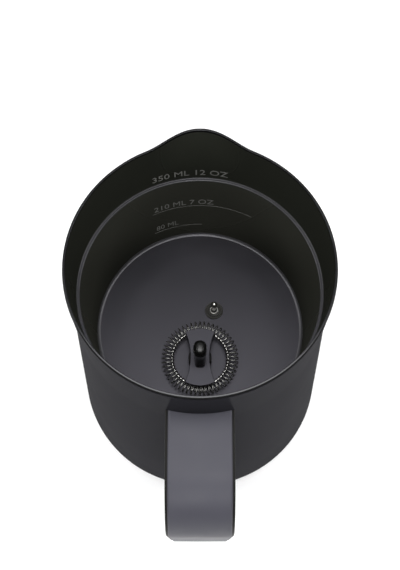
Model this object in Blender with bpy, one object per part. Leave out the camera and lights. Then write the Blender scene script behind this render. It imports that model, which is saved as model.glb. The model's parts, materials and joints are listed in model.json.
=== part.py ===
"""Cordless milk frother jug: a dark coated steel pot in a conical painted body, with a strap handle,
a magnetically driven coil whisk that lifts out, a ring heater, a motor and the control electronics.

Sizes are in millimetres in the constants and functions, and the meshes are written in metres.
+Z is up, the jug's axis is the Z axis, z = 0 is the plane it stands on, the pouring spout points
to +Y and the handle to -Y.
"""

import math

import bmesh
import bpy
from mathutils import Matrix, Vector

MM = 0.001
GAP = 0.3

# Pot and body, as radii about the jug's axis and heights above the standing plane
RIM_HEIGHT = 160.0
RIM_RADIUS = 50.2
BEAD_RADIUS = 0.525
FLANGE_DEPTH = 1.3
POT_WALL = 0.4
LEDGE_HEIGHT = RIM_HEIGHT - 28.2
LEDGE_RADIUS = 48.4
LEDGE_WIDTH = 1.4
FLOOR_HEIGHT = RIM_HEIGHT - 79.0
FLOOR_WALL_RADIUS = 45.2
FLOOR_FILLET = 1.3
FLOOR_THICKNESS = 1.2
NECK_RADIUS = 50.1
CREASE_HEIGHT = RIM_HEIGHT - 34.0
CREASE_RADIUS = 50.35
BASE_RADIUS = 58.4
BASE_ROUND_HEIGHT = 7.0
BODY_WALL_BELOW = 1.7
BODY_WALL_ABOVE = 0.9
BODY_WALL_NECK = 0.4
BODY_TOP_DEPTH = 2.8
BODY_SIDES = 48

# Pouring spout: a bell-shaped push of the upper wall towards +Y
SPOUT_REACH = 5.5
SPOUT_HALF_ANGLE = math.radians(24.6)
SPOUT_DEPTH = 24.0

# Handle strap, along a path in the plane x = 0
HANDLE_WIDTH = 25.7
HANDLE_COVER_WIDTH = 23.8
HANDLE_COVER_THICKNESS = 3.0
HANDLE_THICKNESS = 10.5
HANDLE_TOP = RIM_HEIGHT - 24.0
HANDLE_REACH = 94.0
HANDLE_ROOT_Y = -40.0
HANDLE_FOOT = (-88.0, 33.0)
HANDLE_FOOT_ROOT = (HANDLE_ROOT_Y, 37.5)
HANDLE_CORNER_RADII = (22.0, 19.0)
UPPER_SCREW_HEIGHT = LEDGE_HEIGHT - 3.2
LOWER_SCREW_HEIGHT = 43.6

# Whisk and its magnetic drive, both on one upright axis between the jug's axis and the handle
WHISK_Y = -15.0
COIL_LEVEL = FLOOR_HEIGHT + 3.7
COIL_RADIUS = 13.95
COIL_HALF_WIDTH = 2.6
COIL_HALF_HEIGHT = 1.6
COIL_WIRE = 0.33
COIL_TURNS = 52
HOOP_RADIUS = 12.15
HOOP_LEVEL = COIL_LEVEL + 0.25
HOOP_WIRE = 0.32
BRIDGE_LEVEL = COIL_LEVEL + 2.6
BRIDGE_RADIUS = 12.8
BRIDGE_WAIST = 4.1
BRIDGE_END = 6.4
BRIDGE_THICKNESS = 1.0
HOOP_POST_TURNS = (10, 14, 36, 40)
PIVOT_RADIUS = 1.5
PIVOT_HEIGHT = 3.4
BUSH_RADIUS = 5.0
GRIP_HEIGHT = 14.5
MAGNET_OFFSET = 8.2
ROTOR_RADIUS = 13.5
MOTOR_RADIUS = 12.2

# Temperature probe in the floor
PROBE_X, PROBE_Y = 6.2, 8.0
PROBE_HEIGHT = 9.8
PROBE_SEAL_RADIUS = 4.0
PROBE_HEAD_RADIUS = 1.35

# Base
BOARD_HEIGHT = 18.0
CHASSIS_INNER = 42.5
CHASSIS_OUTER = 44.5
BUTTON_HEIGHT = 20.0
BUTTON_RADIUS = 5.6
STANDING_RING = (47.0, 51.0)
COVER_BOTTOM, COVER_TOP = 2.1, 4.0
BASE_SCREW_CIRCLE = 42.0
BASE_SCREW_ANGLES = (90.0, 210.0, 330.0)
BOARD_SCREW_CIRCLE = 40.0
BOARD_SCREW_ANGLES = (30.0, 150.0, 270.0)

# Colours (linear RGB), roughness and metallic value of each material
FINISHES = {
    "painted_body": ((0.045, 0.045, 0.052), 0.38, 0.0),
    "pot_coating": ((0.030, 0.030, 0.033), 0.42, 0.6),
    "handle_cover": ((0.110, 0.110, 0.125), 0.45, 0.0),
    "dark_plastic": ((0.020, 0.020, 0.022), 0.50, 0.0),
    "gloss_black": ((0.010, 0.010, 0.010), 0.15, 0.0),
    "steel": ((0.560, 0.560, 0.560), 0.22, 1.0),
    "satin_steel": ((0.170, 0.170, 0.185), 0.40, 0.8),
    "aluminium": ((0.600, 0.600, 0.620), 0.35, 1.0),
    "brass": ((0.600, 0.420, 0.160), 0.30, 1.0),
    "rubber": ((0.015, 0.015, 0.015), 0.75, 0.0),
    "white_plastic": ((0.700, 0.690, 0.650), 0.50, 0.0),
    "board_green": ((0.020, 0.120, 0.050), 0.45, 0.0),
    "magnet": ((0.300, 0.300, 0.310), 0.30, 1.0),
    "light_guide": ((0.800, 0.820, 0.850), 0.25, 0.0),
    "red_insulation": ((0.450, 0.020, 0.015), 0.45, 0.0),
    "blue_insulation": ((0.020, 0.070, 0.350), 0.45, 0.0),
}


def clear_scene():
    for obj in list(bpy.data.objects):
        bpy.data.objects.remove(obj, do_unlink=True)


def material_for(name, finish):
    colour, roughness, metallic = FINISHES[finish]
    material = bpy.data.materials.new(name)
    material.use_nodes = True
    shader = material.node_tree.nodes["Principled BSDF"]
    shader.inputs["Base Color"].default_value = (*colour, 1.0)
    shader.inputs["Roughness"].default_value = roughness
    shader.inputs["Metallic"].default_value = metallic
    material.diffuse_color = (*colour, 1.0)
    return material


def finish_object(name, bm, finish, smooth_angle=35.0):
    """Turns a bmesh drawn in millimetres into a metre-sized object with outward faces."""
    bmesh.ops.recalc_face_normals(bm, faces=bm.faces)
    bmesh.ops.scale(bm, vec=(MM, MM, MM), verts=bm.verts)
    mesh = bpy.data.meshes.new(name)
    bm.to_mesh(mesh)
    bm.free()
    mesh.shade_smooth()
    mesh.set_sharp_from_angle(angle=math.radians(smooth_angle))
    obj = bpy.data.objects.new(name, mesh)
    bpy.context.scene.collection.objects.link(obj)
    if finish:
        mesh.materials.append(material_for(name, finish))
    return obj


def as_cutter(obj):
    obj.hide_render = True
    obj.display_type = "WIRE"
    return obj


def combine(obj, other, operation):
    modifier = obj.modifiers.new(operation.lower(), "BOOLEAN")
    modifier.operation = operation
    modifier.object = as_cutter(other)


def cut(obj, cutter):
    combine(obj, cutter, "DIFFERENCE")


def join(obj, addition):
    combine(obj, addition, "UNION")


def sweep(bm, sections, closed):
    """Skins a row of equal-sided sections; an open row gets an end face at each end."""
    rings = [[bm.verts.new(point) for point in section] for section in sections]
    count = len(rings[0])
    pairs = list(zip(rings, rings[1:]))
    if closed:
        pairs.append((rings[-1], rings[0]))
    for ring, following in pairs:
        for i in range(count):
            j = (i + 1) % count
            bm.faces.new((ring[i], ring[j], following[j], following[i]))
    if not closed:
        bm.faces.new(rings[0])
        bm.faces.new(rings[-1])


def turned(name, profile, finish, centre=(0.0, 0.0), sides=32, push=None, smooth_angle=35.0):
    """A solid of revolution about an upright axis through centre.

    profile holds (radius, z) points. It either starts and ends on the axis, or it is a closed
    outline clear of the axis. push(angle, z) gives a sideways shift of the wall.
    """
    bm = bmesh.new()
    rings = []
    for radius, z in profile:
        if radius == 0.0:
            rings.append([bm.verts.new((centre[0], centre[1], z))])
            continue
        ring = []
        for k in range(sides):
            angle = 2.0 * math.pi * k / sides
            reach = radius + (push(angle, z) if push else 0.0)
            x = centre[0] + reach * math.cos(angle)
            ring.append(bm.verts.new((x, centre[1] + reach * math.sin(angle), z)))
        rings.append(ring)
    pairs = list(zip(rings, rings[1:]))
    if profile[0][0] > 0.0:
        pairs.append((rings[-1], rings[0]))
    for ring, following in pairs:
        for k in range(sides):
            n = (k + 1) % sides
            corners = [ring[k % len(ring)], ring[n % len(ring)]]
            corners += [following[n % len(following)], following[k % len(following)]]
            bm.faces.new(list(dict.fromkeys(corners)))
    return finish_object(name, bm, finish, smooth_angle)


def ring_profile(inner, outer, low, high, chamfer=0.0):
    """A rectangular ring section with its four corners chamfered."""
    c = chamfer
    if not c:
        return [(outer, low), (outer, high), (inner, high), (inner, low)]
    return [
        (outer - c, low),
        (outer, low + c),
        (outer, high - c),
        (outer - c, high),
        (inner + c, high),
        (inner, high - c),
        (inner, low + c),
        (inner + c, low),
    ]


def disc_profile(radius, low, high, chamfer=0.0):
    """A solid disc or rod section, from the axis out and back to the axis."""
    c = chamfer
    if not c:
        return [(0.0, low), (radius, low), (radius, high), (0.0, high)]
    return [
        (0.0, low),
        (radius - c, low),
        (radius, low + c),
        (radius, high - c),
        (radius - c, high),
        (0.0, high),
    ]


def arc(centre, radius, start, end, steps):
    """Points of an arc in a plane, from start to end in degrees."""
    points = []
    for k in range(steps + 1):
        angle = math.radians(start + (end - start) * k / steps)
        points.append((centre[0] + radius * math.cos(angle), centre[1] + radius * math.sin(angle)))
    return points


def slab(name, outline, low, high, finish, bevel=0.0):
    """An outline in the XY plane, extruded upwards, with bevelled edges."""
    bm = bmesh.new()
    face = bm.faces.new([bm.verts.new((x, y, low)) for x, y in outline])
    raised = bmesh.ops.extrude_face_region(bm, geom=[face])["geom"]
    tops = [item for item in raised if isinstance(item, bmesh.types.BMVert)]
    bmesh.ops.translate(bm, vec=(0.0, 0.0, high - low), verts=tops)
    if bevel:
        rims = [edge for edge in bm.edges if abs(edge.verts[0].co.z - edge.verts[1].co.z) < 1e-6]
        bmesh.ops.bevel(bm, geom=rims, offset=bevel, segments=1, affect="EDGES")
    return finish_object(name, bm, finish)


def box(name, size, centre, finish, bevel=0.4):
    bm = bmesh.new()
    bmesh.ops.create_cube(bm, size=1.0)
    bmesh.ops.scale(bm, vec=size, verts=bm.verts)
    if bevel:
        bmesh.ops.bevel(bm, geom=list(bm.edges), offset=bevel, segments=1, affect="EDGES")
    bmesh.ops.translate(bm, vec=centre, verts=bm.verts)
    return finish_object(name, bm, finish)


def lay_along_y(obj, x, y, z, towards=-1.0):
    """Turns an upright piece so that its +Z end points along Y, and moves it into place."""
    turn = Matrix.Rotation(math.radians(90.0 if towards < 0.0 else -90.0), 4, "X")
    obj.matrix_world = Matrix.Translation(Vector((x, y, z)) * MM) @ turn
    return obj


def at_angle(radius, degrees):
    angle = math.radians(degrees)
    return radius * math.cos(angle), radius * math.sin(angle)


def drill(obj, radius, low, high, centre, sides=16):
    """Cuts an upright round hole, turned a little so that no corner meets an edge of the piece."""
    name = f"{obj.name}_hole_{len(obj.modifiers)}"
    cutter = turned(name, disc_profile(radius, low, high), None, sides=sides)
    cutter.location = Vector((*centre, 0.0)) * MM
    cutter.rotation_euler.z = math.radians(7.0)
    cut(obj, cutter)


def drill_along_y(obj, radius, length, x, y, z, sides=16):
    """Cuts a round hole that runs from y towards -Y."""
    name = f"{obj.name}_hole_{len(obj.modifiers)}"
    cutter = turned(name, disc_profile(radius, 0.0, length), None, sides=sides)
    cut(obj, lay_along_y(cutter, x, y, z))


def screw(name, length, shank=1.25, head=2.5, head_height=1.5):
    """A pan-head screw standing on its tip's axis: head from z = 0 down, shank upwards."""
    profile = [
        (0.0, -head_height),
        (0.8 * head, -head_height),
        (head, -0.6 * head_height),
        (head, 0.0),
        (shank, 0.0),
        (shank, length),
        (0.0, length),
    ]
    return turned(name, profile, "steel", sides=10)


def spout_push(angle, z):
    """How far the wall is pushed out at this angle and height."""
    off = abs((angle - math.pi / 2.0 + math.pi) % (2.0 * math.pi) - math.pi)
    fade = min(1.0, max(0.0, 1.0 - (RIM_HEIGHT - z) / SPOUT_DEPTH))
    if off >= SPOUT_HALF_ANGLE:
        return 0.0
    return SPOUT_REACH * math.cos(math.pi / 2.0 * off / SPOUT_HALF_ANGLE) ** 2 * fade**1.6


def body_radius(z):
    """Outer radius of the painted body at a height above its rounded foot."""
    if z >= CREASE_HEIGHT:
        share = (z - CREASE_HEIGHT) / (RIM_HEIGHT - CREASE_HEIGHT)
        return CREASE_RADIUS + (NECK_RADIUS - CREASE_RADIUS) * share
    share = (z - BASE_ROUND_HEIGHT) / (CREASE_HEIGHT - BASE_ROUND_HEIGHT)
    return BASE_RADIUS + (CREASE_RADIUS - BASE_RADIUS) * share


def body_wall(z):
    """Thickness of the painted body between its foot and its crease."""
    share = (z - BASE_ROUND_HEIGHT) / (CREASE_HEIGHT - BASE_ROUND_HEIGHT)
    return BODY_WALL_BELOW + (BODY_WALL_ABOVE - BODY_WALL_BELOW) * share


def upper_wall_radius(z):
    """Inner radius of the pot above the ledge."""
    top = RIM_RADIUS - 2.0 * BEAD_RADIUS
    share = (z - LEDGE_HEIGHT) / (RIM_HEIGHT - BEAD_RADIUS - LEDGE_HEIGHT)
    return LEDGE_RADIUS + (top - LEDGE_RADIUS) * share


def make_pot():
    bead_centre = (RIM_RADIUS - BEAD_RADIUS, RIM_HEIGHT - BEAD_RADIUS)
    flange_bottom = RIM_HEIGHT - FLANGE_DEPTH
    flange_inner = RIM_RADIUS - 2.0 * BEAD_RADIUS + POT_WALL
    spout_levels = [RIM_HEIGHT - drop for drop in (6.0, 13.0)]
    ledge_inner = LEDGE_RADIUS - LEDGE_WIDTH
    fillet_centre = (FLOOR_WALL_RADIUS - FLOOR_FILLET, FLOOR_HEIGHT + FLOOR_FILLET)
    inside = [(0.0, FLOOR_HEIGHT)]
    inside += arc(fillet_centre, FLOOR_FILLET, -90.0, 0.0, 2)
    inside += [
        (ledge_inner, LEDGE_HEIGHT - 0.3),
        (ledge_inner + 0.3, LEDGE_HEIGHT),
        (LEDGE_RADIUS - 0.3, LEDGE_HEIGHT),
        (LEDGE_RADIUS, LEDGE_HEIGHT + 0.3),
    ]
    inside += [(upper_wall_radius(z), z) for z in reversed(spout_levels)]
    bead = arc(bead_centre, BEAD_RADIUS, 180.0, 0.0, 4)
    outside = [(RIM_RADIUS, flange_bottom), (flange_inner, flange_bottom)]
    outside += [(upper_wall_radius(z) + POT_WALL, z) for z in spout_levels]
    outside += [
        (LEDGE_RADIUS + POT_WALL, LEDGE_HEIGHT - 0.5),
        (ledge_inner + POT_WALL, LEDGE_HEIGHT - 1.1),
        (FLOOR_WALL_RADIUS + POT_WALL, FLOOR_HEIGHT + 0.6),
        (FLOOR_WALL_RADIUS - 0.7, FLOOR_HEIGHT - FLOOR_THICKNESS),
        (0.0, FLOOR_HEIGHT - FLOOR_THICKNESS),
    ]
    pot = turned("inner_pot", inside + bead + outside, "pot_coating", sides=BODY_SIDES, push=spout_push)
    drill(pot, 2.9, FLOOR_HEIGHT - 3.0, FLOOR_HEIGHT + 1.0, (PROBE_X, PROBE_Y))
    drill(pot, PIVOT_RADIUS, FLOOR_HEIGHT - 3.0, FLOOR_HEIGHT + 1.0, (0.0, WHISK_Y))
    return pot


def make_body():
    top = RIM_HEIGHT - BODY_TOP_DEPTH
    levels = [RIM_HEIGHT - drop for drop in (6.0, 13.0, 24.0)]
    outside = [(body_radius(z), z) for z in [top, *levels, CREASE_HEIGHT]]
    foot_centre = (BASE_RADIUS - 5.9, BASE_ROUND_HEIGHT)
    outside += arc(foot_centre, 5.9, 0.0, -76.0, 3)
    inside = [(54.2, 2.6), (56.3, 4.6), (BASE_RADIUS - BODY_WALL_BELOW, BASE_ROUND_HEIGHT + 0.5)]
    inside += [(CREASE_RADIUS - BODY_WALL_ABOVE, CREASE_HEIGHT)]
    inside += [(body_radius(z) - BODY_WALL_NECK, z) for z in reversed(levels)]
    inside += [(NECK_RADIUS - BODY_WALL_NECK + 0.1, top)]
    body = turned("outer_body", outside + inside, "painted_body", sides=BODY_SIDES, push=spout_push)
    for height in (UPPER_SCREW_HEIGHT, LOWER_SCREW_HEIGHT):
        drill_along_y(body, 1.7, 20.0, 0.0, -44.0, height)
    drill_along_y(body, 8.5, 15.0, 0.0, -50.0, BUTTON_HEIGHT, 32)
    return body


def rounded_path(corners, radii, steps):
    """The corner points of an open path, with each inner corner replaced by an arc."""
    path = [corners[0]]
    for before, corner, after, radius in zip(corners, corners[1:], corners[2:], radii):
        into = (before - corner).normalized()
        out = (after - corner).normalized()
        half = into.angle(out) / 2.0
        reach = radius / math.tan(half)
        centre = corner + (into + out).normalized() * (radius / math.sin(half))
        start, end = corner + into * reach, corner + out * reach
        for k in range(steps + 1):
            spoke = (start - centre).lerp(end - centre, k / steps)
            path.append(centre + spoke.normalized() * radius)
    path.append(corners[-1])
    return path


def handle_strap(name, width, near, far, finish, round_near, round_far):
    """A band of the handle between two depths under its outer surface."""
    corners = [
        Vector((HANDLE_ROOT_Y, HANDLE_TOP)),
        Vector((-HANDLE_REACH, HANDLE_TOP)),
        Vector(HANDLE_FOOT),
        Vector(HANDLE_FOOT_ROOT),
    ]
    path = rounded_path(corners, HANDLE_CORNER_RADII, 6)
    half = width / 2.0
    near_face = [(half - round_near, near), (half, near + round_near)]
    far_face = [(half, far - round_far), (half - round_far, far)]
    side = near_face + far_face
    outline = side + [(-x, depth) for x, depth in reversed(side)]
    sections = []
    for k, point in enumerate(path):
        ahead = path[min(k + 1, len(path) - 1)] - path[max(k - 1, 0)]
        inward = Vector((-ahead.y, ahead.x)).normalized()
        section = []
        for x, depth in outline:
            spot = point + inward * depth
            section.append((x, spot.x, spot.y))
        sections.append(section)
    bm = bmesh.new()
    sweep(bm, sections, closed=False)
    strap = finish_object(name, bm, finish)
    clear = GAP
    wall = [(0.0, -5.0), (BASE_RADIUS + clear, -5.0), (BASE_RADIUS + clear, BASE_ROUND_HEIGHT)]
    wall += [(CREASE_RADIUS + clear, CREASE_HEIGHT), (NECK_RADIUS + clear, RIM_HEIGHT)]
    wall += [(0.0, RIM_HEIGHT)]
    cut(strap, turned(f"{name}_root_cutter", wall, None, sides=BODY_SIDES))
    return strap


def make_handle():
    cover_depth = HANDLE_COVER_THICKNESS
    handle_strap("handle_cover", HANDLE_COVER_WIDTH, 0.0, cover_depth, "handle_cover", 0.8, 0.2)
    grip = handle_strap(
        "handle_grip", HANDLE_WIDTH, cover_depth + GAP, HANDLE_THICKNESS, "dark_plastic", 0.3, 2.6
    )
    for which, height, depth in (("upper", UPPER_SCREW_HEIGHT, 14.0), ("lower", LOWER_SCREW_HEIGHT, 12.0)):
        wall = body_radius(height)
        drill_along_y(grip, 1.7, depth, 0.0, -wall, height)
        fastener = screw(f"handle_screw_{which}", length=11.0, shank=1.4)
        lay_along_y(fastener, 0.0, -(wall - body_wall(height) - GAP), height)


def make_base():
    ring_in, ring_out = STANDING_RING
    profile = [
        (14.4, COVER_BOTTOM),
        (ring_in - 0.9, COVER_BOTTOM),
        (ring_in, 0.0),
        (ring_out, 0.0),
        (ring_out + 0.9, 1.2),
        (53.8, 1.2),
        (53.8, 10.5),
        (51.6, 10.5),
        (51.6, COVER_TOP),
        (14.4, COVER_TOP),
    ]
    cover = turned("base_cover", profile, "dark_plastic", sides=40)
    for k, degrees in enumerate(BASE_SCREW_ANGLES, 1):
        spot = at_angle(BASE_SCREW_CIRCLE, degrees)
        drill(cover, 1.6, -1.0, COVER_TOP + 1.0, spot)
        fastener = screw(f"base_screw_{k}", length=9.0)
        fastener.location = Vector((*spot, COVER_BOTTOM - GAP)) * MM


def make_chassis():
    shelf = BOARD_HEIGHT - GAP
    inner_band = 38.0
    profile = [
        (CHASSIS_OUTER, COVER_TOP + GAP),
        (CHASSIS_OUTER, FLOOR_HEIGHT - FLOOR_THICKNESS - GAP),
        (CHASSIS_INNER, FLOOR_HEIGHT - FLOOR_THICKNESS - GAP),
        (CHASSIS_INNER, shelf),
        (inner_band, shelf),
        (inner_band, COVER_TOP + GAP),
    ]
    chassis = turned("chassis", profile, "white_plastic", sides=40)
    for degrees in BASE_SCREW_ANGLES:
        drill(chassis, 1.6, 0.0, 11.0, at_angle(BASE_SCREW_CIRCLE, degrees), 12)
    for degrees in BOARD_SCREW_ANGLES:
        drill(chassis, 1.6, 11.0, BOARD_HEIGHT + 1.0, at_angle(BOARD_SCREW_CIRCLE, degrees), 12)


def make_coupler():
    """The cordless socket: a hub flush with the standing plane inside a round contact groove."""
    profile = [
        (0.0, 0.0),
        (3.6, 0.0),
        (4.0, 0.4),
        (4.0, 12.0),
        (11.4, 12.0),
        (11.4, 0.6),
        (14.0, 0.6),
        (14.0, COVER_TOP + GAP),
        (18.0, COVER_TOP + GAP),
        (18.0, COVER_TOP + 2.0),
        (14.0, COVER_TOP + 2.0),
        (14.0, 15.6),
        (0.0, 15.6),
    ]
    turned("coupler_housing", profile, "white_plastic", sides=24)
    for which, radius, low in (("inner", 4.3, 2.0), ("middle", 7.4, 9.2), ("outer", 10.5, 3.0)):
        profile = ring_profile(radius, radius + 0.6, low, 12.0 - GAP)
        turned(f"coupler_contact_{which}", profile, "brass", sides=24)


def make_electronics():
    board_top = BOARD_HEIGHT + 1.6
    board = turned(
        "circuit_board", disc_profile(CHASSIS_INNER - GAP, BOARD_HEIGHT, board_top), "board_green", sides=32
    )
    for k, degrees in enumerate(BOARD_SCREW_ANGLES, 1):
        spot = at_angle(BOARD_SCREW_CIRCLE, degrees)
        drill(board, 1.6, BOARD_HEIGHT - 1.0, board_top + 1.0, spot, 12)
        fastener = screw(f"board_screw_{k}", length=5.0, head=2.0)
        flip = Matrix.Rotation(math.pi, 4, "X")
        place = Vector((spot[0], spot[1], board_top + GAP)) * MM
        fastener.matrix_world = Matrix.Translation(place) @ flip
    seat = board_top + GAP
    box("relay", (19.0, 15.0, 15.0), (20.0, 17.0, seat + 7.5), "blue_insulation")
    turned("capacitor", disc_profile(6.5, seat, seat + 15.0, 0.8), "dark_plastic", (-20.0, 18.0), 20)
    box("control_chip", (8.0, 8.0, 1.4), (-20.0, -8.0, seat + 0.7), "dark_plastic", 0.2)
    box("terminal_block", (20.0, 8.0, 10.0), (0.0, -29.0, seat + 5.0), "white_plastic")


def make_heating():
    """Heat spreader, horseshoe heating element and thermal cut-out under the pot's floor."""
    plate_top = FLOOR_HEIGHT - FLOOR_THICKNESS - GAP
    plate_bottom = plate_top - 2.0
    plate = turned("heat_spreader", disc_profile(41.0, plate_bottom, plate_top), "aluminium", sides=40)
    drill(plate, ROTOR_RADIUS + 2.0, plate_bottom - 1.0, plate_top + 1.0, (0.0, WHISK_Y), 32)
    drill(plate, 4.4, plate_bottom - 1.0, plate_top + 1.0, (PROBE_X, PROBE_Y))

    tube_radius, ring_radius, gap_degrees = 3.2, 36.5, 60.0
    level = plate_bottom - GAP - tube_radius
    sections = []
    steps = 30
    for k in range(steps + 1):
        degrees = -90.0 + gap_degrees / 2.0 + (360.0 - gap_degrees) * k / steps
        out = Vector((*at_angle(1.0, degrees), 0.0))
        middle = out * ring_radius + Vector((0.0, 0.0, level))
        section = []
        for dx, dz in arc((0.0, 0.0), tube_radius, 0.0, 315.0, 7):
            section.append(middle + out * dx + Vector((0.0, 0.0, dz)))
        sections.append(section)
    bm = bmesh.new()
    sweep(bm, sections, closed=False)
    finish_object("heater_element", bm, "steel")
    for which, degrees in (("left", -116.5), ("right", -63.5)):
        spot = at_angle(ring_radius, degrees)
        profile = disc_profile(1.4, level - 9.0, level + 2.0, 0.3)
        turned(f"heater_terminal_{which}", profile, "steel", spot, 12)

    top = plate_bottom - GAP
    profile = [(0.0, top - 6.0), (4.6, top - 6.0), (4.6, top - 3.4), (8.0, top - 2.6), (8.0, top), (0.0, top)]
    turned("thermal_cutout", profile, "steel", (-16.0, 14.0), 24)
    return plate_bottom


def make_drive(plate_bottom):
    """Motor, bracket, shaft and magnet rotor on the whisk's axis, under the pot's floor."""
    axis = (0.0, WHISK_Y)
    bracket_top = 72.0
    bracket_bottom = bracket_top - 1.5
    motor_top = bracket_bottom - GAP
    motor_bottom = motor_top - 24.0
    rotor_top = FLOOR_HEIGHT - FLOOR_THICKNESS - 0.5
    rotor_bottom = rotor_top - 4.3

    ear = 23.0
    outline = arc((ear, WHISK_Y), 4.5, -80.0, 80.0, 4) + arc((0.0, WHISK_Y), 15.0, 40.0, 140.0, 6)
    outline += arc((-ear, WHISK_Y), 4.5, 100.0, 260.0, 4) + arc((0.0, WHISK_Y), 15.0, 220.0, 320.0, 6)
    bracket = slab("motor_bracket", outline, bracket_bottom, bracket_top, "satin_steel")
    drill(bracket, 4.2, bracket_bottom - 1.0, bracket_top + 1.0, axis)
    for which, x in (("left", -ear), ("right", ear)):
        spot = (x, WHISK_Y)
        drill(bracket, 1.6, bracket_bottom - 1.0, bracket_top + 1.0, spot, 12)
        profile = ring_profile(1.6, 3.0, bracket_top + GAP, plate_bottom - GAP)
        turned(f"bracket_spacer_{which}", profile, "brass", spot, 16)
        fastener = screw(f"bracket_screw_{which}", length=5.5)
        fastener.location = Vector((x, WHISK_Y, bracket_bottom - GAP)) * MM

    profile = [
        (0.0, motor_bottom),
        (MOTOR_RADIUS - 1.0, motor_bottom),
        (MOTOR_RADIUS, motor_bottom + 1.0),
        (MOTOR_RADIUS, motor_top - 2.4),
        (MOTOR_RADIUS - 0.8, motor_top - 1.6),
        (3.9, motor_top - 1.6),
        (3.9, motor_top + 1.2),
        (1.5, motor_top + 1.2),
        (1.5, motor_top - 6.0),
        (0.0, motor_top - 6.0),
    ]
    turned("motor_can", profile, "satin_steel", axis, 24)
    profile = disc_profile(8.0, motor_bottom - 2.6, motor_bottom - GAP, 0.5)
    turned("motor_end_cap", profile, "white_plastic", axis, 16)
    turned("motor_shaft", disc_profile(1.2, motor_top - 5.5, rotor_top - 1.6, 0.2), "steel", axis, 12)

    profile = [
        (1.5, rotor_bottom),
        (ROTOR_RADIUS - 0.6, rotor_bottom),
        (ROTOR_RADIUS, rotor_bottom + 0.6),
        (ROTOR_RADIUS, rotor_top - 0.6),
        (ROTOR_RADIUS - 0.6, rotor_top),
        (1.5, rotor_top),
    ]
    rotor = turned("drive_rotor", profile, "dark_plastic", axis, 24)
    for which, offset in (("front", MAGNET_OFFSET), ("back", -MAGNET_OFFSET)):
        spot = (0.0, WHISK_Y + offset)
        drill(rotor, 3.3, rotor_top - 3.4, rotor_top + 1.0, spot)
        magnet = disc_profile(3.0, rotor_top - 3.1, rotor_top - 0.2, 0.2)
        turned(f"drive_magnet_{which}", magnet, "magnet", spot, 16)
    return motor_bottom - 2.6


def make_probe():
    """Steel temperature probe, its rubber seal in the floor and its nut under the floor."""
    spot = (PROBE_X, PROBE_Y)
    base = FLOOR_HEIGHT
    seal = [
        (1.9, base - 2.2),
        (2.6, base - 2.2),
        (2.6, base + GAP),
        (PROBE_SEAL_RADIUS - 0.1, base + GAP),
        (PROBE_SEAL_RADIUS, base + 0.5),
        (3.2, base + 0.8),
        (2.6, base + 0.6),
        (1.9, base + 0.6),
    ]
    turned("probe_seal", seal, "rubber", spot, 24)
    top = base + PROBE_HEIGHT
    pin = [
        (0.0, base - 5.5),
        (1.6, base - 5.5),
        (1.6, base + 1.1),
        (1.35, base + 1.4),
        (0.85, base + 1.5),
        (0.85, base + 4.2),
        (PROBE_HEAD_RADIUS, base + 4.6),
        (PROBE_HEAD_RADIUS, top - 1.1),
        (0.7 * PROBE_HEAD_RADIUS, top - 0.3),
        (0.0, top),
    ]
    turned("probe_pin", pin, "steel", spot, 16)
    turned("probe_nut", ring_profile(1.9, 3.9, base - 4.8, base - 2.5, 0.2), "brass", spot, 6)


def make_pivot():
    profile = [
        (0.0, FLOOR_HEIGHT - 0.9),
        (PIVOT_RADIUS - GAP, FLOOR_HEIGHT - 0.9),
        (PIVOT_RADIUS - GAP, FLOOR_HEIGHT + PIVOT_HEIGHT - 0.3),
        (PIVOT_RADIUS - 0.6, FLOOR_HEIGHT + PIVOT_HEIGHT),
        (0.0, FLOOR_HEIGHT + PIVOT_HEIGHT),
    ]
    turned("whisk_pivot_pin", profile, "steel", (0.0, WHISK_Y), 16)


def coil_point(turn_angle, ring_angle):
    """Centre line of the coil whisk: a flattened helix whose axis is bent into a ring."""
    reach = COIL_RADIUS + COIL_HALF_WIDTH * math.cos(turn_angle)
    height = COIL_LEVEL + COIL_HALF_HEIGHT * math.sin(turn_angle)
    return Vector((reach * math.cos(ring_angle), WHISK_Y + reach * math.sin(ring_angle), height))


def make_coil():
    points_per_turn, sides = 8, 3
    total = COIL_TURNS * points_per_turn
    step = 2.0 * math.pi / total
    sections = []
    for k in range(total):
        ring_angle, turn_angle = step * k, step * k * COIL_TURNS
        here = coil_point(turn_angle, ring_angle)
        ahead = coil_point(turn_angle + step * COIL_TURNS, ring_angle + step)
        behind = coil_point(turn_angle - step * COIL_TURNS, ring_angle - step)
        tangent = (ahead - behind).normalized()
        core_x, core_y = at_angle(COIL_RADIUS, math.degrees(ring_angle))
        outward = (here - Vector((core_x, WHISK_Y + core_y, COIL_LEVEL))).normalized()
        sideways = tangent.cross(outward).normalized()
        section = []
        for a, b in arc((0.0, 0.0), COIL_WIRE, 0.0, 360.0 - 360.0 / sides, sides - 1):
            section.append(here + outward * a + sideways * b)
        sections.append(section)
    bm = bmesh.new()
    sweep(bm, sections, closed=True)
    return finish_object("whisk_coil", bm, "steel", 180.0)


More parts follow.
